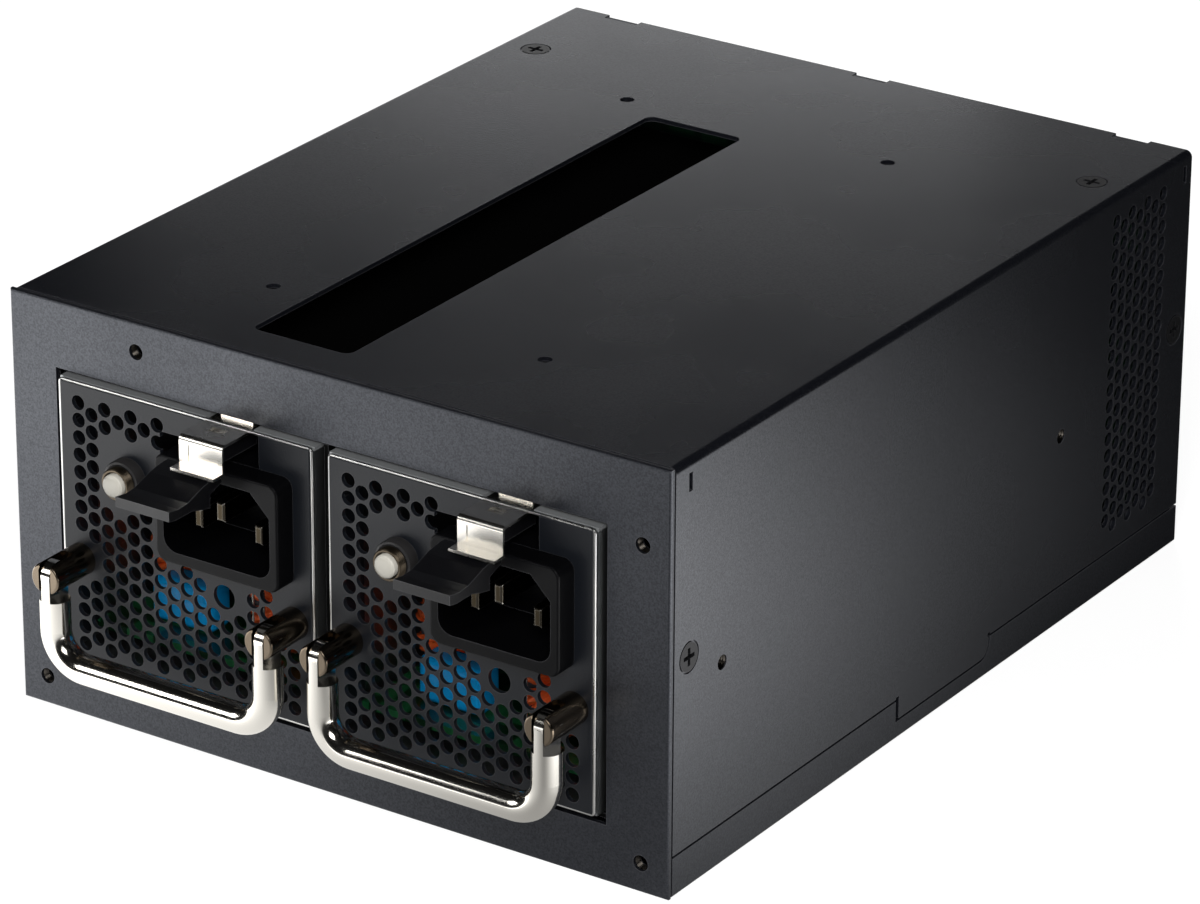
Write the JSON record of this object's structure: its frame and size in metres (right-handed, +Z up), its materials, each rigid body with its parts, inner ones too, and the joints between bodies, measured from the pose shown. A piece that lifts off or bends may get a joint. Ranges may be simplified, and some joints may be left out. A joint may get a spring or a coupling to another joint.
{
  "type": "hot swap server power supply",
  "caption": "Redundant server power supply: a folded steel housing with hot-swap modules, each with a mains inlet, bail handle, latch tab, reset button and status lamp.",
  "frame": {"origin": "middle of the housing's underside, without handles and latches", "axes": "+X to the right seen from the front, +Y from the front frame to the rear, +Z up"},
  "size_m": [0.15, 0.214, 0.086],
  "materials": {
    "powder_coat": "fine textured matt black powder coat",
    "plate_paint": "satin black paint",
    "plated_steel": "bright zinc plate",
    "black_screw": "black oxide",
    "rubber": "matt",
    "black_plastic": "satin moulded",
    "inlet_plastic": "satin moulded",
    "barrel_plastic": "satin moulded",
    "white_plastic": "gloss",
    "lamp_lens": "frosted",
    "blade_metal": "nickel plate",
    "latch_nickel": "bright nickel plate",
    "post_nickel": "satin nickel plate",
    "handle_chrome": "polished chrome plate",
    "brass_fitting": "satin",
    "copper_wire": "enamelled copper",
    "circuit_board": "solder mask",
    "ferrite": "matt sintered",
    "blue_plastic": "gloss",
    "capacitor_sleeve": "shrunk sleeve",
    "heat_sink_aluminium": "extruded"
  },
  "bodies": {
    "cage": {"base_tray": "powder_coat", "top_cover": "powder_coat", "rear_panel": "powder_coat", "cable_grommet": "rubber", "bay_floor": "powder_coat", "bay_roof": "powder_coat", "bay_divider": "powder_coat", "power_backplane": "circuit_board", "board_standoffs": "brass_fitting", "bay_sockets": "black_plastic", "output_terminals": "brass_fitting", "alarm_buzzer": "black_plastic", "backplane_capacitors": "capacitor_sleeve", "cover_screws": "black_screw"},
    "left_module": {"left_module_shell": "plated_steel", "left_module_lid": "plated_steel", "left_front_plate": "plate_paint", "left_ac_inlet": "inlet_plastic", "left_inlet_blades": "blade_metal", "left_handle_posts": "post_nickel", "left_handle_pins": "plated_steel", "left_reset_barrel": "barrel_plastic", "left_status_led": "lamp_lens", "left_main_board": "circuit_board", "left_choke_cores": "ferrite", "left_choke_windings": "copper_wire", "left_film_capacitor": "blue_plastic", "left_bulk_capacitor": "capacitor_sleeve", "left_transformer": "ferrite", "left_heat_sinks": "heat_sink_aluminium", "left_output_capacitors": "capacitor_sleeve", "left_fan_frame": "black_plastic"},
    "left_handle": {"left_bail_handle": "handle_chrome"},
    "left_latch": {"left_latch_spring": "latch_nickel", "left_latch_tab": "black_plastic"},
    "left_button": {"left_reset_button": "white_plastic"},
    "left_fan": {"left_fan_rotor": "black_plastic"},
    "right_module": {"right_module_shell": "plated_steel", "right_module_lid": "plated_steel", "right_front_plate": "plate_paint", "right_ac_inlet": "inlet_plastic", "right_inlet_blades": "blade_metal", "right_handle_posts": "post_nickel", "right_handle_pins": "plated_steel", "right_reset_barrel": "barrel_plastic", "right_status_led": "lamp_lens", "right_main_board": "circuit_board", "right_choke_cores": "ferrite", "right_choke_windings": "copper_wire", "right_film_capacitor": "blue_plastic", "right_bulk_capacitor": "capacitor_sleeve", "right_transformer": "ferrite", "right_heat_sinks": "heat_sink_aluminium", "right_output_capacitors": "capacitor_sleeve", "right_fan_frame": "black_plastic"},
    "right_handle": {"right_bail_handle": "handle_chrome"},
    "right_latch": {"right_latch_spring": "latch_nickel", "right_latch_tab": "black_plastic"},
    "right_button": {"right_reset_button": "white_plastic"},
    "right_fan": {"right_fan_rotor": "black_plastic"}
  },
  "joints": [
    {"name": "left_module_slide", "type": "slide", "parent": "cage", "child": "left_module", "axis": [0, -1, 0], "range_m": [0, 0.175]},
    {"name": "left_bail_hinge", "type": "hinge", "parent": "left_module", "child": "left_handle", "pos_m": [-0.0327, -0.1055, 0.0348], "axis": [-1, 0, 0], "range_deg": [-14, 90]},
    {"name": "left_latch_flex", "type": "hinge", "parent": "left_module", "child": "left_latch", "pos_m": [-0.0225, -0.08, 0.0702], "axis": [1, 0, 0], "range_deg": [0, 4], "stiffness_Nm_per_rad": 5, "springref_deg": -1.72},
    {"name": "left_reset_press", "type": "slide", "parent": "left_module", "child": "left_button", "axis": [0, 1, 0], "range_m": [0, 0.0012], "stiffness_N_per_m": 400, "springref_m": -0.0006},
    {"name": "left_fan_spin", "type": "hinge", "parent": "left_module", "child": "left_fan", "pos_m": [-0.0327, 0.055, 0.0404], "axis": [0, 1, 0], "continuous": true},
    {"name": "right_module_slide", "type": "slide", "parent": "cage", "child": "right_module", "axis": [0, -1, 0], "range_m": [0, 0.175]},
    {"name": "right_bail_hinge", "type": "hinge", "parent": "right_module", "child": "right_handle", "pos_m": [0.0303, -0.1055, 0.0348], "axis": [-1, 0, 0], "range_deg": [-14, 90]},
    {"name": "right_latch_flex", "type": "hinge", "parent": "right_module", "child": "right_latch", "pos_m": [0.0405, -0.08, 0.0702], "axis": [1, 0, 0], "range_deg": [0, 4], "stiffness_Nm_per_rad": 5, "springref_deg": -1.72},
    {"name": "right_reset_press", "type": "slide", "parent": "right_module", "child": "right_button", "axis": [0, 1, 0], "range_m": [0, 0.0012], "stiffness_N_per_m": 400, "springref_m": -0.0006},
    {"name": "right_fan_spin", "type": "hinge", "parent": "right_module", "child": "right_fan", "pos_m": [0.0303, 0.055, 0.0404], "axis": [0, 1, 0], "continuous": true}
  ]
}
